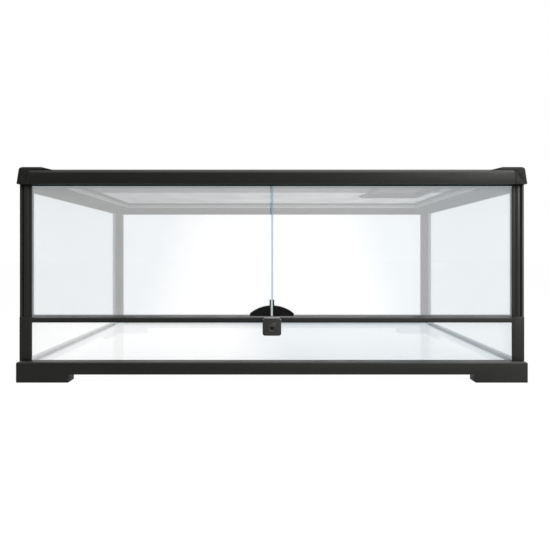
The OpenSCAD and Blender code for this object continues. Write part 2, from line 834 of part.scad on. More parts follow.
hatch_x = tank_w / 2 - hatch_side - hatch_w;
hatch_y = hatch_front + hatch_d - tank_d / 2;
screen_in = well_in + screen_fit;
mesh_z = screen_z + screen_t;
mesh_edge_in = mesh_in - mesh_lap;
curb_top = mesh_z + curb_h - screen_t;
hatch_z = curb_top + lay_fit;
hatch_axis_x = hatch_x - curb_w / 2 - knuckle_r - lay_fit;
hatch_axis_z = hatch_z + hatch_t / 2;
hatch_mesh_z = hatch_z + hatch_t / 2;
lug_y = [hatch_y - hatch_d + knuckle_edge, hatch_y - knuckle_edge - knuckle_len];
boss_gap = 2;
button_x = hatch_x + hatch_w + button_w / 2 + boss_gap;
button_y = hatch_y - hatch_d / 2;
button_z = hatch_z + hatch_t + lay_fit;
pivot_z = screen_z + screen_t / 3;

// Footprints of the hinge lugs and of the turn button's boss, with a margin round them
module hatch_pads(margin) {
    for (y = lug_y)
        area([hatch_axis_x - knuckle_r - margin, y - lug_t - lay_fit - margin],
             [hatch_x, y + knuckle_len + lug_t + lay_fit + margin]);
    area([hatch_x + hatch_w, button_y - button_w / 2 - margin],
         [button_x + button_w / 2 + margin, button_y + button_w / 2 + margin]);
}

module screen_frame() {
    boss_r = button_w / 2;
    color("#1d1d1c") difference() {
        union() {
            ring(screen_in, screen_in + screen_t, screen_z, screen_z + screen_h);
            ring(screen_in, mesh_in, screen_z, mesh_z);
            hatch_ring(curb_w, -curb_w, screen_z, mesh_z);
            hatch_ring(curb_w / 2, -curb_w / 2, mesh_z - eps, curb_top);
            // bars that tie the hatch's curb to the front of the screen frame
            for (x = [hatch_x - curb_w, hatch_x + hatch_w - curb_w])
                block([x, mesh_in - eps - tank_d / 2, screen_z],
                      [x + 2 * curb_w, hatch_y - hatch_d, mesh_z]);
            translate([0, 0, screen_z]) linear_extrude(screen_t) hatch_pads(screen_t);
            // bearing lugs of the hatch's hinge
            for (y = lug_y) for (end = [-lug_t - lay_fit, knuckle_len + lay_fit])
                translate([0, y + end, 0]) {
                    block([hatch_axis_x - knuckle_r, 0, mesh_z - eps],
                          [hatch_axis_x + knuckle_r, lug_t, hatch_axis_z]);
                    translate([hatch_axis_x, lug_t, hatch_axis_z]) rotate([90, 0, 0])
                        cylinder(h = lug_t, r = knuckle_r);
                }
            translate([button_x, button_y, mesh_z - eps])
                cylinder(h = button_z - lay_fit - mesh_z + eps, r = boss_r);
        }
        for (y = lug_y)
            translate([hatch_axis_x, y + knuckle_len + lug_t + past, hatch_axis_z])
                rotate([90, 0, 0])
                    cylinder(h = knuckle_len + 2 * (lug_t + past), r = hatch_pin_r);
        translate([button_x, button_y, pivot_z])
            cylinder(h = button_z - pivot_z, r = button_pin_r + pin_fit);
    }
}

// A sheet between two corners, inside a rim, opened by rows of equal meshes
module mesh_sheet(low, high, rim, across, deep) {
    step = [(high[0] - low[0] - 2 * rim + mesh_web) / across,
            (high[1] - low[1] - 2 * rim + mesh_web) / deep];
    difference() {
        area(low, high);
        for (i = [0 : across - 1], j = [0 : deep - 1])
            translate([low[0] + rim + i * step[0], low[1] + rim + j * step[1]])
                square([step[0] - mesh_web, step[1] - mesh_web]);
    }
}

module screen_mesh() {
    edge = curb_w / 2;
    reach = [tank_w / 2 - mesh_edge_in, tank_d / 2 - mesh_edge_in];
    color("#5a5d5e") translate([0, 0, mesh_z]) linear_extrude(mesh_t) difference() {
        union() {
            mesh_sheet(-reach, reach, mesh_lap, mesh_across, mesh_deep);
            area([hatch_x - curb_w, hatch_y - hatch_d - curb_w],
                 [hatch_x + hatch_w + curb_w, hatch_y + curb_w]);
            hatch_pads(screen_t);
        }
        area([hatch_x - edge, hatch_y - hatch_d - edge],
             [hatch_x + hatch_w + edge, hatch_y + edge]);
        hatch_pads(lay_fit);
    }
}

module screen_strips() {
    low = mesh_z + mesh_t;
    color("#1d1d1c") ring(mesh_edge_in, mesh_edge_in + strip_w, low, low + strip_h);
}

module hatch_button() {
    color("#2b2b2a") translate([button_x, button_y, 0]) {
        translate([0, 0, button_z]) linear_extrude(button_t) {
            area([-button_w / 2, -button_len / 2], [button_w / 2, button_len / 2]);
            for (side = [-1, 1]) translate([0, side * button_len / 2]) circle(button_w / 2);
        }
        translate([0, 0, pivot_z + lay_fit])
            cylinder(h = button_z - pivot_z, r = button_pin_r);
    }
}

// ---------------------------------------------------------------- feeding hatch
module hatch_frame() {
    color("#1d1d1c") {
        difference() {
            union() {
                hatch_ring(0, -hatch_rim, hatch_z, hatch_z + hatch_t);
                for (y = lug_y) {
                    block([hatch_axis_x, y, hatch_z],
                          [hatch_x + hatch_lap, y + knuckle_len, hatch_z + hatch_t]);
                    translate([hatch_axis_x, y + knuckle_len, hatch_axis_z])
                        rotate([90, 0, 0]) cylinder(h = knuckle_len, r = knuckle_r - lay_fit);
                }
            }
            hatch_ring(hatch_lap - hatch_rim, -hatch_rim - past, hatch_mesh_z,
                       hatch_z + hatch_t + past);
            for (y = lug_y)
                translate([hatch_axis_x, y + knuckle_len + past, hatch_axis_z])
                    rotate([90, 0, 0])
                        cylinder(h = knuckle_len + 2 * past, r = hatch_pin_r + pin_fit);
        }
    }
}

module hatch_mesh() {
    inset = hatch_rim - hatch_lap;
    color("#5a5d5e") translate([hatch_x, hatch_y - hatch_d, hatch_mesh_z])
        linear_extrude(mesh_t)
            mesh_sheet([inset, inset], [hatch_w - inset, hatch_d - inset], hatch_lap,
                       hatch_across, hatch_deep);
}

module hatch_strips() {
    color("#1d1d1c")
        hatch_ring(hatch_lap - hatch_rim, -hatch_rim, hatch_mesh_z + mesh_t,
                   hatch_z + hatch_t);
}

module hatch_pins() {
    color("#b9bcbf") for (y = lug_y)
        translate([hatch_axis_x, y + knuckle_len + lug_t, hatch_axis_z]) rotate([90, 0, 0])
            cylinder(h = knuckle_len + 2 * lug_t, r = hatch_pin_r);
}

base_rail(0);  // base_rail_front
base_rail(180);  // base_rail_back
base_rail(270);  // base_rail_left
base_rail(90);  // base_rail_right
floor_glass();
side_glass(false);  // left_glass
side_glass(true);  // right_glass
back_glass();
window_glass();
post_front(false);  // post_front_left
post_front(true);  // post_front_right
post_back(false);  // post_back_left
post_back(true);  // post_back_right
mid_rail();
top_rail(0);  // top_rail_front
top_rail(180);  // top_rail_back
top_rail(270);  // top_rail_left
top_rail(90);  // top_rail_right
cap(false, false);  // cap_front_left
cap(true, false);  // cap_front_right
cap(false, true);  // cap_back_left
cap(true, true);  // cap_back_right
silicone_beads();
lock_bracket();
lock_screws();
lock_block();
door_glass(false);  // left_door_glass
hinge_profile(false);  // left_hinge_profile
hinge_pins(false);  // left_hinge_pins
handle(false);  // left_handle
door_glass(true);  // right_door_glass
hinge_profile(true);  // right_hinge_profile
hinge_pins(true);  // right_hinge_pins
handle(true);  // right_handle
door_seal();  // right_door_seal
screen_frame();
screen_mesh();
screen_strips();
hatch_button();
hatch_frame();
hatch_mesh();
hatch_strips();
hatch_pins();
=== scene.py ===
"""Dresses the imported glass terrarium: finishes, rounded edges, woven screens and a studio."""

from __future__ import annotations

import logging
import math
from dataclasses import dataclass
from enum import Enum

import bpy
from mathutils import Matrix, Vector


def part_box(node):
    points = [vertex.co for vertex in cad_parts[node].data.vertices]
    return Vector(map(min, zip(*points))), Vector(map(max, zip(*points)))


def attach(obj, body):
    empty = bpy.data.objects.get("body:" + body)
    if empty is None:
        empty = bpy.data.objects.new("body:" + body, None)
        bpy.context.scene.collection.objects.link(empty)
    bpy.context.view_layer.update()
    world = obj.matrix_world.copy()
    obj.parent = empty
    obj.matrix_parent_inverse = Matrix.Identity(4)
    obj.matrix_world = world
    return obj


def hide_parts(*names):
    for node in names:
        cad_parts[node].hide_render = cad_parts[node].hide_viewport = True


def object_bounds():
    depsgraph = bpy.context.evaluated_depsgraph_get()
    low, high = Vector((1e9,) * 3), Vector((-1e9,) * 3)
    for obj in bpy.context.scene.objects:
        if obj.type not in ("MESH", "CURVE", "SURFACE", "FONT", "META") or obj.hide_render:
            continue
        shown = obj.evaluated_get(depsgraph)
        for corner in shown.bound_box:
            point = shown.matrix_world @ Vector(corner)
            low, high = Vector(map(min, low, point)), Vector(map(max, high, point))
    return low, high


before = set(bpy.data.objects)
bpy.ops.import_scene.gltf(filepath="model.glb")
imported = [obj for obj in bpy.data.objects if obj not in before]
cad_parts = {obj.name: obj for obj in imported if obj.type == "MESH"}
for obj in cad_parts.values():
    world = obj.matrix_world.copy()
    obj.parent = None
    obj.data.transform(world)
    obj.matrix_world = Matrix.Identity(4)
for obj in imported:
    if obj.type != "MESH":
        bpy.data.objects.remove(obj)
CAD_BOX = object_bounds()
LOG = logging.getLogger("terrarium")
MM = 0.001

# Corners of a CAD mesh that lie this close, in metres, are one corner.
MERGE_WITHIN = 2e-6
# In degrees: faces that turn less are one face, edges that turn more are rounded, and
# what turns less after that is shaded smooth.
FLAT_WITHIN = 0.5
ROUND_FROM = 40
SMOOTH_UNDER = 45
# The part of a noise's range that a finish spreads from its one end to its other.
NOISE_SPAN = (0.3, 0.7)
# A share that grows from none to all, and one that falls.
GROWING = (0, 1)
FALLING = (1, 0)
# A place past every part, for a lip that a rail doesn't have.
NOWHERE = 10.0

Colour = tuple[float, float, float]
Point = tuple[float, float, float]
Span = tuple[float, float]
Value = float | Point | bpy.types.NodeSocket
Setting = float | bool | str | list[float]

BLACK: Colour = (0, 0, 0)


class Side(Enum):
    """Which of the two doors a piece belongs to."""

    LEFT = "left"
    RIGHT = "right"


class Run(Enum):
    """The direction that a wire of the woven screen runs in."""

    ACROSS = 0
    DEEP = 1


# ---------------------------------------------------------------- modelling helpers


def deselect() -> None:
    """Leaves nothing selected."""
    bpy.ops.object.select_all(action="DESELECT")


def choose(piece: bpy.types.Object) -> None:
    """Makes a piece the only one that is selected, and the active one.

    Args:
        piece: The object to choose.
    """
    deselect()
    piece.select_set(True)
    bpy.context.view_layer.objects.active = piece


def bake_place(piece: bpy.types.Object) -> None:
    """Moves a piece's place, turn and size into its mesh."""
    choose(piece)
    bpy.ops.object.transform_apply(location=True, rotation=True, scale=True)


def add_modifier(piece: bpy.types.Object, kind: str, **settings: Setting) -> None:
    """Adds a modifier and applies it.

    Args:
        piece: The object to shape.
        kind: Blender's name of the modifier's type.
        settings: The modifier's properties.
    """
    choose(piece)
    made = piece.modifiers.new(kind.lower(), kind)
    for key, value in settings.items():
        setattr(made, key, value)
    bpy.ops.object.modifier_apply(modifier=made.name)


def joined(name: str, pieces: list[bpy.types.Object]) -> bpy.types.Object:
    """Joins pieces into one and names it.

    Args:
        name: The name of the whole.
        pieces: The objects to join.

    Returns:
        The first of them, which now holds them all.
    """
    deselect()
    for piece in pieces:
        piece.select_set(True)
    bpy.context.view_layer.objects.active = pieces[0]
    bpy.ops.object.join()
    pieces[0].name = name
    return pieces[0]


def smooth(piece: bpy.types.Object, degrees: float) -> None:
    """Shades a piece smooth, with corners that turn more than the angle kept sharp."""
    choose(piece)
    bpy.ops.object.shade_smooth_by_angle(angle=math.radians(degrees))


def rounded_copy(node: str, width: float, segments: int = 2) -> bpy.types.Object:
    """Copies a CAD node, merges its triangles and rounds its edges.

    Args:
        node: The CAD node's name.
        width: The rounding's width in metres.
        segments: The number of steps round an edge.

    Returns:
        The new piece, which stands for the node.
    """
    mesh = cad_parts[node].data.copy()
    piece = bpy.data.objects.new(node + "_moulded", mesh)
    bpy.context.collection.objects.link(piece)
    choose(piece)
    bpy.ops.object.mode_set(mode="EDIT")
    bpy.ops.mesh.select_all(action="SELECT")
    bpy.ops.mesh.remove_doubles(threshold=MERGE_WITHIN)
    bpy.ops.mesh.dissolve_limited(angle_limit=math.radians(FLAT_WITHIN))
    bpy.ops.object.mode_set(mode="OBJECT")
    mesh.materials.clear()
    add_modifier(piece, "BEVEL", width=width, segments=segments, limit_method="ANGLE",
                 angle_limit=math.radians(ROUND_FROM), use_clamp_overlap=True,
                 miter_outer="MITER_SHARP", harden_normals=False)
    smooth(piece, SMOOTH_UNDER)
    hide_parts(node)
    return piece


# ---------------------------------------------------------------- materials


class Finish:
    """A material under construction and its node tree."""

    def __init__(self, name: str) -> None:
        """Starts a material with a Principled surface.

        Args:
            name: The material's name.
        """
        self.material = bpy.data.materials.new(name)
        self.material.use_nodes = True
        self.nodes = self.material.node_tree.nodes
        self.links = self.material.node_tree.links
        self.surface = self.nodes["Principled BSDF"]
        self.place = self.add("ShaderNodeTexCoord")

    def add(self, kind: str, settings: dict[str, Setting] | None = None,
            **inputs: Value) -> bpy.types.Node:
        """Adds a node.

        Args:
            kind: Blender's name of the node's type.
            settings: The node's own properties.
            inputs: Values or output sockets for its inputs, with _ for a space.

        Returns:
            The new node.
        """
        node = self.nodes.new(kind)
        for key, value in (settings or {}).items():
            setattr(node, key, value)
        for key, value in inputs.items():
            self.put(node, key.replace("_", " "), value)
        return node

    def put(self, node: bpy.types.Node, socket: str | int, value: Value) -> None:
        """Sets an input to a value, or links an output socket to it.

        Args:
            node: The node.
            socket: The name or the number of its input.
            value: What the input is given.
        """
        target = node.inputs[socket]
        if isinstance(value, bpy.types.NodeSocket):
            self.links.new(value, target)
        else:
            target.default_value = value

    def set(self, **inputs: Value) -> None:
        """Sets or links inputs of the Principled surface, with _ for a space."""
        for key, value in inputs.items():
            self.put(self.surface, key.replace("_", " "), value)

    def split(self, output: str) -> bpy.types.NodeOutputs:
        """The three parts of the place or the normal that the output names."""
        return self.add("ShaderNodeSeparateXYZ", Vector=self.place.outputs[output]).outputs

    def noise(self, scale: float, detail: float = 2.0,
              stretch: Point = (1, 1, 1)) -> bpy.types.NodeSocket:
        """Noise on Object coordinates.

        Args:
            scale: Waves per metre.
            detail: Octaves.
            stretch: Factors along the three axes.

        Returns:
            The noise's factor socket.
        """
        place = self.add("ShaderNodeMapping", Scale=stretch,
                         Vector=self.place.outputs["Object"])
        return self.add("ShaderNodeTexNoise", Scale=scale, Detail=detail,
                        Vector=place.outputs[0]).outputs["Fac"]

    def ramp(self, value: Value, result: Span, span: Span = (0, 1)) -> bpy.types.NodeSocket:
        """Maps a span of a value to a span of results, clamped.

        Args:
            value: The value or socket to map.
            result: The results at the two ends.
            span: Where the value's span begins and ends.

        Returns:
            The result's socket.
        """
        return self.add("ShaderNodeMapRange", {"clamp": True}, Value=value,
                        From_Min=span[0], From_Max=span[1],
                        To_Min=result[0], To_Max=result[1]).outputs[0]

    def math(self, operation: str, *values: Value,
             clamp: bool = False) -> bpy.types.NodeSocket:
        """One step of arithmetic.

        Args:
            operation: Blender's name of the operation.
            values: The values or sockets that it works on.
            clamp: Whether the result is kept between 0 and 1.

        Returns:
            The result's socket.
        """
        node = self.add("ShaderNodeMath", {"operation": operation, "use_clamp": clamp})
        for index, value in enumerate(values):
            self.put(node, index, value)
        return node.outputs[0]

    def mix(self, share: Value, first: Value, second: Value) -> bpy.types.NodeSocket:
        """Mixes two colours by a share.

        Args:
            share: How much of the second colour there is, from 0 to 1.
            first: The first colour or its socket.
            second: The second colour or its socket.

        Returns:
            The mixed colour's socket.
        """
        node = self.add("ShaderNodeMix", {"data_type": "RGBA"})
        self.put(node, 0, share)
        for slot, colour in ((6, first), (7, second)):
            if isinstance(colour, bpy.types.NodeSocket):
                self.put(node, slot, colour)
            else:
                self.put(node, slot, (*colour, 1.0))
        return node.outputs[2]

    def bump(self, height: Value, strength: float, distance: float) -> bpy.types.NodeSocket:
        """Turns a height from 0 to 1 into a normal, 1 standing for a distance in metres."""
        return self.add("ShaderNodeBump", Height=height, Strength=strength,
                        Distance=distance).outputs[0]


def scaled(colour: Colour, factor: float) -> Colour:
    """A colour made darker or paler by a factor."""
    return tuple(part * factor for part in colour)


def around(middle: float, reach: float) -> Span:
    """The span that reaches as far below a value as above it."""
    return middle - reach, middle + reach


@dataclass(frozen=True)
class MouldedPlastic:
    """Injection-moulded black plastic with a spark-eroded grain and edges that are paled
    for wear and as a painted highlight.

    Faces that look up are paled by a share, as painted light from above, and what lies
    deeper than a limit along Y is painted darker, as the shade in a recess. A lip, where a
    rail has one, is painted pale as a highlight.
    Noises are in waves per metre. The turn is the cosine of the angle by which an
    edge's rounded normal leaves its face, and patches are the noise and the share that
    break up the edges' wear and painted highlight.
    """

    name: str
    colour: Colour = (0.0185, 0.0185, 0.0172)
    # Pale colour of edge wear and painted edge highlights, and of the painted light on faces
    # that look up.
    wear_and_highlight: Colour = (0.08, 0.08, 0.078)
    roughness: float = 0.38
    smoother: float = 0.07
    rougher: float = 0.09
    specular: float = 0.08
    cloud: float = 7.0
    haze: float = 60.0
    mottle: float = 0.72
    grain: float = 1500.0
    grain_depth: float = 0.00005
    grain_strength: float = 0.35
    edge_reach: float = 0.0012
    edge_turn: Span = (0.86, 0.99)
    patch_noise: Span = (0.35, 0.65)
    patch_share: Span = (0.15, 0.75)
    flow: Point = (1, 1, 1)
    # Share of the pale colour painted on faces that look up, as light from above, and the span
    # of the normal's Z over which it grows.
    painted_top_light: float = 0.5
    painted_top_light_span: Span = (0.15, 0.85)
    # Past this Y a part is painted darker, as shade in a recess.
    recess_shade_from: float = 1.0
    recess_shade: float = 0.2
    recess_shade_fade: float = 0.0003
    lip_axis: int = 0
    lip_at: float = NOWHERE
    lip_width: float = 0.003
    # Colour of the highlight painted along the lip.
    lip: Colour = (0.3, 0.3, 0.3)

    def make(self) -> bpy.types.Material:
        """Builds the material.

        Returns:
            The material.
        """
        f = Finish(self.name)
        haze = f.noise(self.haze, 4, self.flow)
        roughness = (self.roughness - self.smoother, self.roughness + self.rougher)
        f.set(Base_Color=f.mix(self.wear_and_highlight_share(f, haze), self.body(f), self.wear_and_highlight),
              Specular_IOR_Level=self.specular,
              Roughness=f.ramp(haze, roughness, NOISE_SPAN),
              Normal=f.bump(f.noise(self.grain), self.grain_strength, self.grain_depth))
        return f.material

    def wear_and_highlight_share(self, f: Finish, haze: bpy.types.NodeSocket) -> bpy.types.NodeSocket:
        """How pale a point is painted: near an edge, as wear and a painted highlight,
        or on a face that looks up, as painted light from above.

        Args:
            f: The material under construction.
            haze: The noise that breaks up the rubbing along an edge.

        Returns:
            The share's socket, from 0 to 1.
        """
        # Edges are paled by a share, as wear and as a painted highlight.
        edge = f.add("ShaderNodeBevel", {"samples": 4}, Radius=self.edge_reach)
        turn = f.add("ShaderNodeVectorMath", {"operation": "DOT_PRODUCT"})
        f.put(turn, 0, edge.outputs[0])
        f.put(turn, 1, f.add("ShaderNodeNewGeometry").outputs["Normal"])
        edge_wear_and_highlight = f.ramp(turn.outputs["Value"], FALLING, self.edge_turn)
        patchy = f.math("MULTIPLY", edge_wear_and_highlight,
                        f.ramp(haze, self.patch_share, self.patch_noise))
        # Faces that look up are painted paler, as light from above.
        above = f.ramp(f.split("Normal")[2], (0, self.painted_top_light), self.painted_top_light_span)
        return f.math("MAXIMUM", patchy, above)

    def body(self, f: Finish) -> bpy.types.NodeSocket:
        """The plastic's colour away from its edges, with painted shade in a recess and a
        painted highlight along a lip.

        Args:
            f: The material under construction.

        Returns:
            The colour's socket.
        """
        cloud = f.noise(self.cloud, 3, self.flow)
        body = f.mix(f.ramp(cloud, GROWING, NOISE_SPAN), scaled(self.colour, self.mottle),
                     self.colour)
        spot = f.split("Object")
        # What lies deeper along Y, in the lock's recess, is painted darker as shade.
        deep = f.ramp(spot[1], GROWING,
                      (self.recess_shade_from, self.recess_shade_from + self.recess_shade_fade))
        body = f.mix(deep, body, scaled(self.colour, self.recess_shade))
        # The lip is painted pale, as a highlight.
        away = f.math("ABSOLUTE", f.math("SUBTRACT", spot[self.lip_axis], self.lip_at))
        on_lip = f.ramp(away, FALLING, (self.lip_width, self.lip_width + MM))
        return f.mix(on_lip, body, self.lip)


@dataclass(frozen=True)
class FloatGlass:
    """A clear pane with a pale veil that glows as a painted reflection, faint wipe marks
    and tinted cut edges.

    The veil is white over a field round the line X = centre, and takes the band's
    colour past it: a painted reflection. The field widens downwards by lean and towards
    the front by tilt, from its own width at the height of level. Below foot the pane is
    painted grey, as the reflection of the black rail that its edge stands over. A face
    whose normal leaves the thin axis is a cut edge. Wipe marks vary the veil and the
    roughness.
    """

    name: str
    veil: float = 0.205
    wipe: float = 0.008
    wipe_noise: float = 22.0
    wipe_stretch: Point = (0.4, 1, 1.6)
    roughness: Span = (0.02, 0.07)
    wiped: Span = (0.35, 0.75)
    # The veil glows, as painted reflected light, though the pane is no lamp.
    glow: float = 0.74
    body: float = 0.25
    specular: float = 0.1
    tint: Colour = (0.99, 0.995, 1.0)
    # Colour of the painted reflection past the white field.
    band: Colour = (0.99, 0.995, 1.0)
    edge: Colour = (0.42, 0.66, 0.72)
    edge_veil: float = 0.45
    cut_from: Span = (0.4, 0.8)
    thin_axis: int = 1
    centre: float = 0.0
    field: float = 0.28
    soft: float = 0.06
    cloud: float = 3.0
    level: float = 0.2
    lean: float = 0.375
    tilt: float = 0.0
    # Below foot the pane is painted grey, as the black rail's reflection.
    foot: float = -1.0
    foot_fade: float = 0.3 * MM
    grey: Colour = (0.15, 0.155, 0.157)

    def make(self) -> bpy.types.Material:
        """Builds the material.

        Returns:
            The material.
        """
        f = Finish(self.name)
        facing = f.math("ABSOLUTE", f.split("Normal")[self.thin_axis])
        cut = f.ramp(facing, FALLING, self.cut_from)
        wipe = f.noise(self.wipe_noise, 5, self.wipe_stretch)
        # White field and coloured band: a painted reflection.
        face = f.mix(self.bluish(f), self.tint, self.band)
        # Below the foot the pane is painted grey, as the black rail's reflection.
        low = f.ramp(f.split("Object")[2], FALLING, around(self.foot, self.foot_fade))
        shade = f.mix(low, f.mix(cut, face, self.edge), self.grey)
        alpha = f.ramp(wipe, around(self.veil, self.wipe), NOISE_SPAN)
        for place in (cut, low):
            alpha = f.math("ADD", alpha, f.ramp(place, (0, self.edge_veil)), clamp=True)
        # The veil's colour glows as emission, a painted reflection of the bright surroundings.
        f.set(Base_Color=f.mix(self.body, BLACK, shade),
              Emission_Color=shade, Emission_Strength=self.glow,
              Specular_IOR_Level=self.specular,
              Roughness=f.ramp(wipe, self.roughness, self.wiped),
              Alpha=alpha)
        f.material.surface_render_method = "BLENDED"
        return f.material

    def bluish(self, f: Finish) -> bpy.types.NodeSocket:
        """How far a point lies past the white field of the painted reflection.

        Args:
            f: The material under construction.

        Returns:
            The share's socket, from 0 to 1.
        """
        spot = f.split("Object")
        off = f.math("ABSOLUTE", f.math("SUBTRACT", spot[0], self.centre))
        rise = f.math("MULTIPLY", f.math("SUBTRACT", spot[2], self.level), self.lean)
        cloud = f.ramp(f.noise(self.cloud, 1.5), around(0, self.soft / 2))
        deep = f.math("MULTIPLY_ADD", spot[1], self.tilt, cloud)
        reach = f.math("ADD", f.math("ADD", off, rise), deep)
        return f.ramp(reach, GROWING, around(self.field, self.soft))


@dataclass(frozen=True)
class CuredSilicone:
    """Milky grey sealant, tooled with a finger: glossy and slightly wavy."""

    name: str = "grey_silicone"
    colour: Colour = (0.19, 0.192, 0.195)
    paler: float = 1.8
    wave: float = 90.0
    wave_strength: float = 0.3
    wave_depth: float = 0.0004
    gloss: float = 400.0
    roughness: Span = (0.2, 0.4)
    specular: float = 0.35

    def make(self) -> bpy.types.Material:
        """Builds the material.

        Returns:
            The material.
        """
        f = Finish(self.name)
        wave = f.noise(self.wave, 3)
        f.set(Base_Color=f.mix(f.ramp(wave, GROWING, NOISE_SPAN), self.colour,
                               scaled(self.colour, self.paler)),
              Roughness=f.ramp(f.noise(self.gloss), self.roughness, NOISE_SPAN),
              Specular_IOR_Level=self.specular,
              Normal=f.bump(wave, self.wave_strength, self.wave_depth))
        return f.material


@dataclass(frozen=True)
class PlainSteel:
    """Drawn or turned steel with fine lines along one axis."""

    name: str = "drawn_steel"
    dark: Colour = (0.42, 0.43, 0.44)
    bright: Colour = (0.66, 0.67, 0.68)
    lines: float = 2600.0
    stretch: Point = (1, 1, 0.02)
    line_strength: float = 0.2
    line_depth: float = 0.00003
    roughness: Span = (0.24, 0.42)

    def make(self) -> bpy.types.Material:
        """Builds the material.

        Returns:
            The material.
        """
        f = Finish(self.name)
        lines = f.noise(self.lines, stretch=self.stretch)
        f.set(Base_Color=f.mix(f.ramp(lines, GROWING, NOISE_SPAN), self.dark, self.bright),
              Metallic=1.0, Roughness=f.ramp(lines, self.roughness, NOISE_SPAN),
              Normal=f.bump(lines, self.line_strength, self.line_depth))
        return f.material


@dataclass(frozen=True)
class WovenWire:
    """Coated wire of the screen, dusty at the back and painted near black towards the front
    as shade.
    """

    name: str = "screen_wire"
    colour: Colour = (0.24, 0.25, 0.26)
    dust: Colour = (0.36, 0.37, 0.38)
    shaded: Colour = (0.03, 0.03, 0.031)
    shade_end: float = -0.02
    shade_fade: float = 0.006
    cloud: float = 14.0
    cloudy: Span = (0.35, 0.7)
    metal: float = 0.25
    specular: float = 0.5
    roughness: Span = (0.4, 0.6)
    speck: float = 1400.0
    speck_strength: float = 0.2
    speck_depth: float = 0.00003

    def make(self) -> bpy.types.Material:
        """Builds the material.

        Returns:
            The material.
        """
        f = Finish(self.name)
        speck = f.noise(self.speck)
        # Towards the front the wire is painted near black, as shade.
        behind = f.ramp(f.split("Object")[1], GROWING,
                        around(self.shade_end, self.shade_fade))
        dusty = f.mix(f.ramp(f.noise(self.cloud, 4), GROWING, self.cloudy), self.colour,
                      self.dust)
        f.set(Base_Color=f.mix(behind, self.shaded, dusty),
              Metallic=self.metal, Specular_IOR_Level=self.specular,
              Roughness=f.ramp(speck, self.roughness, NOISE_SPAN),
              Normal=f.bump(speck, self.speck_strength, self.speck_depth))
        return f.material


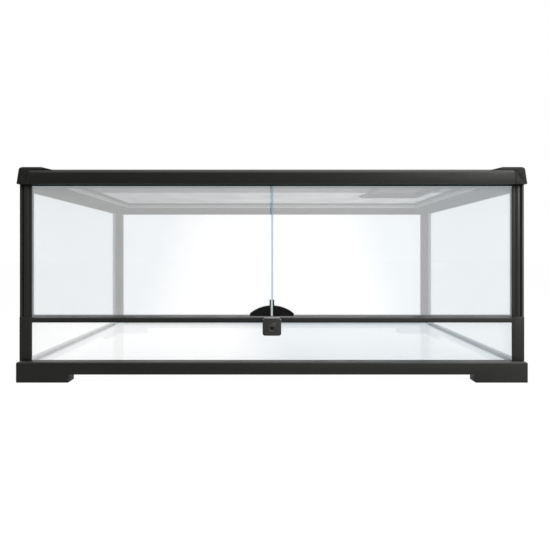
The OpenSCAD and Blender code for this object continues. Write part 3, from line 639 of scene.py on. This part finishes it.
@dataclass
class Palette:
    """Every finish of the terrarium, made once.

    Its sizes say where a finish changes along a part: at the inner edge of a base rail's
    wall, which is painted pale as a highlight over the width of its lip, under the lock's
    outer skin, past which its recess is painted as shade, and above the foot of a door
    pane, which stands in front of the black rail and is painted grey below it as the
    rail's reflection.
    """

    base_wall: float = 4.5 * MM
    base_lip: float = 0.5 * MM
    lock_recess_shade_depth: float = 1.5 * MM
    pane_foot: float = 2.2 * MM

    def __post_init__(self) -> None:
        """Builds all the materials."""
        self.rail_plastics()
        self.fitting_plastics()
        self.glasses()
        self.silicone = CuredSilicone().make()
        self.steel = PlainSteel().make()
        self.wire = WovenWire().make()
        # The hatch's wire keeps the painted shade further back, as it lies higher.
        self.hatch_wire = WovenWire("hatch_wire", shade_end=0.06, metal=0.0,
                                    specular=0.08).make()

    def rail_plastics(self) -> None:
        """Builds the plastics of the rails, the posts and their caps."""
        self.across = MouldedPlastic("rail_plastic_across", flow=(0.25, 1, 1)).make()
        # The base rails' lips are painted pale as a highlight, paler on the left rail than on
        # the right.
        self.base_left = MouldedPlastic(
            "base_plastic_left", flow=(1, 0.25, 1), lip=(0.33, 0.33, 0.33),
            lip_at=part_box("base_rail_left")[0][0] + self.base_wall,
            lip_width=self.base_lip).make()
        self.base_right = MouldedPlastic(
            "base_plastic_right", flow=(1, 0.25, 1), lip=(0.14, 0.145, 0.15),
            lip_at=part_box("base_rail_right")[1][0] - self.base_wall,
            lip_width=self.base_lip).make()
        self.upright = MouldedPlastic("post_plastic", flow=(1, 1, 0.25)).make()
        self.matt = MouldedPlastic("frame_plastic", roughness=0.5, specular=0.03,
                                   wear_and_highlight=(0.06, 0.06, 0.058)).make()
        self.top = {place: self.top_rail(place)
                    for place in ("front", "back", "left", "right")}
        # The cap's faces that look up get a little painted light from above.
        self.cap = MouldedPlastic("cap_plastic", colour=(0.015, 0.015, 0.0145),
                                  wear_and_highlight=(0.08, 0.08, 0.078), roughness=0.55,
                                  specular=0.035, painted_top_light=0.2).make()

    def fitting_plastics(self) -> None:
        """Builds the plastics of the lock, the buttons and the handles."""
        # The lock's faces that look up carry painted light, its thumb ridge a painted
        # highlight, and its recess painted shade.
        self.lock = MouldedPlastic(
            "lock_plastic", colour=(0.027, 0.027, 0.025), wear_and_highlight=(0.2, 0.2, 0.195),
            roughness=0.5, specular=0.14, grain=1100, grain_depth=0.0001, painted_top_light=1.0,
            painted_top_light_span=(0.1, 0.35),
            recess_shade_from=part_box("lock_block")[0][1] + self.lock_recess_shade_depth).make()
        self.button = MouldedPlastic("button_plastic", colour=(0.027, 0.027, 0.025),
                                     roughness=0.5, grain=1100,
                                     grain_depth=0.0001).make()
        self.handle = MouldedPlastic("handle_plastic", colour=(0.005, 0.005, 0.0048),
                                     wear_and_highlight=(0.03, 0.03, 0.029), roughness=0.34,
                                     specular=0.08).make()

    def glasses(self) -> None:
        """Builds the glass of every pane, and the clear strip that seals the doors."""
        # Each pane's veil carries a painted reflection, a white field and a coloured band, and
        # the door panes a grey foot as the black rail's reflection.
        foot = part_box("left_door_glass")[0][2] + self.pane_foot
        self.door_glass = {
            Side.LEFT: FloatGlass("left_door_glass", foot=foot).make(),
            Side.RIGHT: FloatGlass("right_door_glass", band=(0.845, 0.875, 0.9),
                                   field=0.26, soft=0.1, lean=0.25, foot=foot).make()}
        self.window_glass = FloatGlass("window_glass", band=(0.56, 0.64, 0.69),
                                       centre=-0.5, field=0.45, lean=0.2).make()
        self.back_glass = FloatGlass("back_glass", veil=0.25,
                                     band=(0.55, 0.66, 0.74)).make()
        self.side_glass = FloatGlass("side_glass", thin_axis=0, veil=0.3,
                                     band=(0.50, 0.58, 0.62), field=0.3134, soft=0.006,
                                     lean=1.0, tilt=0.167).make()
        self.floor_glass = FloatGlass("floor_glass", thin_axis=2, veil=0.6,
                                      glow=0.66).make()
        self.seal = FloatGlass("clear_seal", veil=0.5, glow=0.62,
                               tint=(0.40, 0.55, 0.63), band=(0.40, 0.55, 0.63),
                               edge=(0.40, 0.55, 0.63)).make()

    @staticmethod
    def top_rail(place: str) -> bpy.types.Material:
        """The finish of one top rail, whose ledge has a lip painted pale as a highlight on
        three sides.

        Args:
            place: The side of the tank that the rail lies on.

        Returns:
            The material.
        """
        low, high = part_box(f"top_rail_{place}")
        # The inner lip of the ledge is painted pale, as a highlight.
        lips = {"front": (0, NOWHERE), "back": (1, low[1]), "left": (0, high[0]),
                "right": (0, low[0])}
        axis, lip_at = lips[place]
        flow = (0.25, 1, 1) if place in ("front", "back") else (1, 0.25, 1)
        # The rail's faces that look up are painted pale, as light from above.
        return MouldedPlastic(f"top_plastic_{place}", flow=flow,
                              colour=(0.015, 0.015, 0.014), wear_and_highlight=(0.1, 0.1, 0.098),
                              roughness=0.5, specular=0.055 if place == "front" else 0.03,
                              painted_top_light=0.8, painted_top_light_span=(0.1, 0.9), lip_axis=axis,
                              lip_at=lip_at).make()


def dress(piece: bpy.types.Object, finish: bpy.types.Material) -> None:
    """Gives a piece one finish all over."""
    piece.data.materials.clear()
    piece.data.materials.append(finish)


def dress_node(node: str, finish: bpy.types.Material) -> None:
    """Gives a CAD node one finish through its material slots.

    Args:
        node: The CAD node's name.
        finish: Its material.
    """
    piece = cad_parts[node]
    if not piece.material_slots:
        piece.data.materials.append(finish)
    for held in piece.material_slots:
        held.material = finish
    LOG.info("%s is dressed in %s", node, finish.name)


def add_piece(piece: bpy.types.Object, body: str,
              finish: bpy.types.Material) -> None:
    """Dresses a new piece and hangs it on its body.

    Args:
        piece: The new object.
        body: The body that it moves with.
        finish: Its material.
    """
    dress(piece, finish)
    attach(piece, body)
    LOG.info("%s rides on %s", piece.name, body)


# ---------------------------------------------------------------- sub-assemblies


@dataclass
class TankFrame:
    """Rails, posts, caps, fixed panels and sealant of the tank."""

    palette: Palette
    rail_round: float = 0.0009
    cap_round: float = 0.0014
    mid_round: float = 0.0007

    def build(self) -> None:
        """Rounds the moulded parts and dresses all of the tank's nodes."""
        p = self.palette
        finishes = {"front": p.across, "back": p.across, "left": p.base_left,
                    "right": p.base_right}
        for place, finish in finishes.items():
            self.moulded(f"base_rail_{place}", finish, self.rail_round)
            self.moulded(f"top_rail_{place}", p.top[place], self.rail_round)
        for end, finish in (("front", p.upright), ("back", p.matt)):
            for side in Side:
                self.moulded(f"post_{end}_{side.value}", finish, self.rail_round)
                self.moulded(f"cap_{end}_{side.value}", p.cap, self.cap_round)
        self.moulded("mid_rail", p.across, self.mid_round)
        dress_node("floor_glass", p.floor_glass)
        dress_node("back_glass", p.back_glass)
        dress_node("window_glass", p.window_glass)
        for side in Side:
            dress_node(f"{side.value}_glass", p.side_glass)
        dress_node("silicone_beads", p.silicone)

    def moulded(self, node: str, finish: bpy.types.Material, width: float) -> None:
        """Replaces one node by its rounded copy."""
        add_piece(rounded_copy(node, width), "tank", finish)


@dataclass
class GlassDoor:
    """A door: its pane, hinge profile, pins and half-moon handle."""

    palette: Palette
    side: Side
    profile_round: float = 0.0008
    handle_round: float = 0.0006

    def build(self) -> None:
        """Rounds the moulded parts and dresses the door's nodes."""
        name = self.side.value
        body = f"{name}_door"
        p = self.palette
        add_piece(rounded_copy(f"{name}_hinge_profile", self.profile_round), body,
                  p.upright)
        add_piece(rounded_copy(f"{name}_handle", self.handle_round), body,
                  p.handle)
        dress_node(f"{name}_door_glass", p.door_glass[self.side])
        dress_node(f"{name}_hinge_pins", p.steel)
        if self.side is Side.RIGHT:
            dress_node("right_door_seal", p.seal)


@dataclass
class DoorLock:
    """The sliding lock block with its bracket and screws."""

    palette: Palette
    block_round: float = 0.0009
    block_steps: int = 3

    def build(self) -> None:
        """Rounds and dresses the lock."""
        p = self.palette
        add_piece(rounded_copy("lock_block", self.block_round, self.block_steps),
                  "door_lock", p.lock)
        dress_node("lock_bracket", p.button)
        dress_node("lock_screws", p.steel)


@dataclass
class WovenPanel:
    """A panel of woven wire, with an optional rectangular hole.

    The wires that run across lie above the panel's middle and the others below it, by
    a share of the wire's radius.
    """

    name: str
    low: Point
    high: Point
    hole: tuple[float, float, float, float] | None = None
    pitch: float = 0.0032
    wire: float = 0.00025
    lift: float = 0.8
    wire_sides: int = 6
    smooth_under: float = 65

    def build(self) -> bpy.types.Object:
        """Lays both sets of wires and joins them.

        Returns:
            The panel as one piece.
        """
        rows = []
        for run in Run:
            rows += self.wires(run)
        return joined(self.name, rows)

    def wires(self, run: Run) -> list[bpy.types.Object]:
        """Lays the wires of one direction, interrupted at the hole.

        Args:
            run: Their direction.

        Returns:
            The rows before, beside and after the hole, or one row where there is none.
        """
        along, across = run.value, 1 - run.value
        start, stop = self.low[along], self.high[along]
        first, last = self.low[across] + self.pitch / 2, self.high[across]
        count = int((last - first) / self.pitch) + 1
        if self.hole is None:
            return [self.row(run, start, stop, first, count)]
        hole_low, hole_high = self.hole[:2], self.hole[2:]
        before = int((hole_low[across] - first) / self.pitch) + 1
        after = int(math.ceil((hole_high[across] - first) / self.pitch))
        beside = first + before * self.pitch
        return [self.row(run, start, stop, first, before),
                self.row(run, start, hole_low[along], beside, after - before),
                self.row(run, hole_high[along], stop, beside, after - before),
                self.row(run, start, stop, first + after * self.pitch, count - after)]

    def row(self, run: Run, start: float, stop: float, first: float,
            count: int) -> bpy.types.Object:
        """Lays a row of parallel wires.

        Args:
            run: Their direction.
            start: Where each begins.
            stop: Where each ends.
            first: The place of the first, across their direction.
            count: How many there are.

        Returns:
            The row as one object.
        """
        middle = (self.low[2] + self.high[2]) / 2
        centre = (start + stop) / 2
        lift = self.wire * self.lift
        if run is Run.ACROSS:
            place, turn = (centre, first, middle + lift), (0, math.pi / 2, 0)
        else:
            place, turn = (first, centre, middle - lift), (math.pi / 2, 0, 0)
        deselect()
        bpy.ops.mesh.primitive_cylinder_add(vertices=self.wire_sides, radius=self.wire,
                                            depth=stop - start, location=place,
                                            rotation=turn)
        piece = bpy.context.object
        bake_place(piece)
        step = [0.0, 0.0, 0.0]
        step[1 - run.value] = self.pitch
        add_modifier(piece, "ARRAY", count=count, use_relative_offset=False,
                     use_constant_offset=True, constant_offset_displace=step)
        smooth(piece, self.smooth_under)
        return piece


@dataclass
class ScreenTop:
    """The lift-off screen: frame, woven mesh, strips and the hatch's turn button.

    The mesh is cut out round the hatch, with some room on three sides, and ends under
    the hatch's frame on the fourth.
    """

    palette: Palette
    frame_round: float = 0.0005
    button_round: float = 0.0006
    hole_room: float = 0.002
    hole_lap: float = 0.006

    def build(self) -> None:
        """Builds the mesh and dresses the screen's nodes."""
        p = self.palette
        add_piece(rounded_copy("screen_frame", self.frame_round), "screen_top",
                  p.matt)
        low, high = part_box("screen_mesh")
        hatch_low, hatch_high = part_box("hatch_frame")
        hole = (hatch_low[0] + self.hole_lap, hatch_low[1] - self.hole_room,
                hatch_high[0] + self.hole_room, hatch_high[1] + self.hole_room)
        mesh = WovenPanel("screen_weave", low, high, hole).build()
        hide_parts("screen_mesh")
        add_piece(mesh, "screen_top", p.wire)
        dress_node("screen_strips", p.across)
        dress_node("hatch_pins", p.steel)
        add_piece(rounded_copy("hatch_button", self.button_round), "hatch_turn_button",
                  p.button)


@dataclass
class FeedingHatch:
    """The hinged feeding hatch with its own woven mesh."""

    palette: Palette
    frame_round: float = 0.0005

    def build(self) -> None:
        """Builds the hatch's mesh and dresses its nodes."""
        p = self.palette
        add_piece(rounded_copy("hatch_frame", self.frame_round), "hatch",
                  p.matt)
        low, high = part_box("hatch_mesh")
        mesh = WovenPanel("hatch_weave", low, high).build()
        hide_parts("hatch_mesh")
        add_piece(mesh, "hatch", p.hatch_wire)
        dress_node("hatch_strips", p.across)


# ---------------------------------------------------------------- studio


@dataclass
class Studio:
    """Camera, lamps, surroundings and floor.

    The focal length, the frame's size, its rows and its columns are in pixels of the
    frame, the sensor is in millimetres and everything else is in metres and watts. The
    eye's height follows from one height on the front and the row that it lies on.
    """

    focal: float = 395.0
    frame_size: float = 550.0
    sensor: float = 36.0
    near_limit: float = 0.02
    distance: float = 0.694
    horizon_row: float = 254.0
    centre_column: float = 271.9
    known_row: float = 374.8
    known_height: float = 14 * MM
    aim: Point = (0, 0, 0.18)
    key_place: Point = (1.2, -1.0, 0.75)
    key_size: float = 0.5
    key_power: float = 26.0
    fill_place: Point = (0.1, -0.7, 1.3)
    fill_size: float = 1.0
    fill_power: float = 10.0
    world_fill: float = 0.33
    floor_size: float = 14.0
    floor_place: Point = (0, 3, -0.0002)
    floor_tone: Colour = (0.9, 0.9, 0.9)
    floor_rough: float = 0.9
    floor_glow: float = 1.02
    floor_share: float = 0.96

    def build(self) -> None:
        """Sets the whole studio up."""
        self.camera()
        self.lamp("key", self.key_place, self.key_size, self.key_power)
        self.lamp("top", self.fill_place, self.fill_size, self.fill_power)
        self.surroundings()
        self.floor()
        bpy.context.scene.view_settings.view_transform = "Standard"

    def camera(self) -> None:
        """Places the camera level in front of the doors, its frame shifted a little."""
        half = self.frame_size / 2
        front = CAD_BOX[0][1]
        scale = self.distance / self.focal
        eye = self.known_height + (self.known_row - self.horizon_row) * scale
        data = bpy.data.cameras.new("camera")
        data.sensor_width = self.sensor
        data.lens = self.sensor * self.focal / self.frame_size
        data.shift_x = (half - self.centre_column) / self.frame_size
        data.shift_y = (self.horizon_row - half) / self.frame_size
        data.clip_start = self.near_limit
        camera = bpy.data.objects.new("camera", data)
        camera.location = (0, front - self.distance, eye)
        camera.rotation_euler = (math.pi / 2, 0, 0)
        bpy.context.collection.objects.link(camera)
        bpy.context.scene.camera = camera

    def lamp(self, name: str, place: Point, size: float, power: float) -> None:
        """Adds one square lamp that faces the tank.

        Args:
            name: The lamp's name.
            place: Where it hangs.
            size: The length of its side.
            power: Its power in watts.
        """
        data = bpy.data.lights.new(name, "AREA")
        data.size = size
        data.energy = power
        lamp = bpy.data.objects.new(name, data)
        lamp.location = place
        aim = Vector(self.aim) - Vector(place)
        lamp.rotation_euler = aim.to_track_quat("-Z", "Y").to_euler()
        bpy.context.collection.objects.link(lamp)

    @staticmethod
    def seen_share(tree: bpy.types.NodeTree) -> bpy.types.NodeSocket:
        """Tells the rays that look at something from the rays that light something.

        Args:
            tree: The node tree to add the nodes to.

        Returns:
            A socket that is 1 for camera, glossy and transmitted rays, and 0 for others.
        """
        path = tree.nodes.new("ShaderNodeLightPath")
        total = path.outputs["Is Camera Ray"]
        for name in ("Is Glossy Ray", "Is Transmission Ray"):
            add = tree.nodes.new("ShaderNodeMath")
            add.operation = "ADD"
            add.use_clamp = True
            tree.links.new(total, add.inputs[0])
            tree.links.new(path.outputs[name], add.inputs[1])
            total = add.outputs[0]
        return total

    def surroundings(self) -> None:
        """Adds a white world, dimmer as a light than it looks."""
        world = bpy.data.worlds.new("studio")
        bpy.context.scene.world = world
        world.use_nodes = True
        tree = world.node_tree
        strength = tree.nodes.new("ShaderNodeMapRange")
        strength.inputs["To Min"].default_value = self.world_fill
        strength.inputs["To Max"].default_value = 1.0
        tree.links.new(self.seen_share(tree), strength.inputs["Value"])
        back = tree.nodes["Background"]
        back.inputs["Color"].default_value = (1, 1, 1, 1)
        tree.links.new(strength.outputs[0], back.inputs["Strength"])

    def floor(self) -> None:
        """Adds a wide pale floor that fades into the white of the background."""
        deselect()
        bpy.ops.mesh.primitive_plane_add(size=self.floor_size, location=self.floor_place)
        floor = bpy.context.object
        floor.name = "floor"
        finish = Finish("pale_floor")
        finish.set(Base_Color=(*self.floor_tone, 1), Roughness=self.floor_rough,
                   Specular_IOR_Level=0.0)
        glow = finish.add("ShaderNodeEmission", Strength=self.floor_glow)
        share = finish.math("MULTIPLY", self.seen_share(finish.material.node_tree),
                            self.floor_share)
        mix = finish.add("ShaderNodeMixShader")
        for socket, part in enumerate((share, finish.surface.outputs[0], glow.outputs[0])):
            finish.put(mix, socket, part)
        finish.put(finish.nodes["Material Output"], "Surface", mix.outputs[0])
        dress(floor, finish.material)


def main() -> None:
    """Builds the terrarium's looks and the studio, in order."""
    logging.basicConfig(level=logging.INFO, format="%(message)s")
    palette = Palette()
    for part in (TankFrame(palette), GlassDoor(palette, Side.LEFT),
                 GlassDoor(palette, Side.RIGHT), DoorLock(palette), ScreenTop(palette),
                 FeedingHatch(palette), Studio()):
        LOG.info("building the %s", type(part).__name__)
        part.build()


if __name__ == "__main__":
    main()
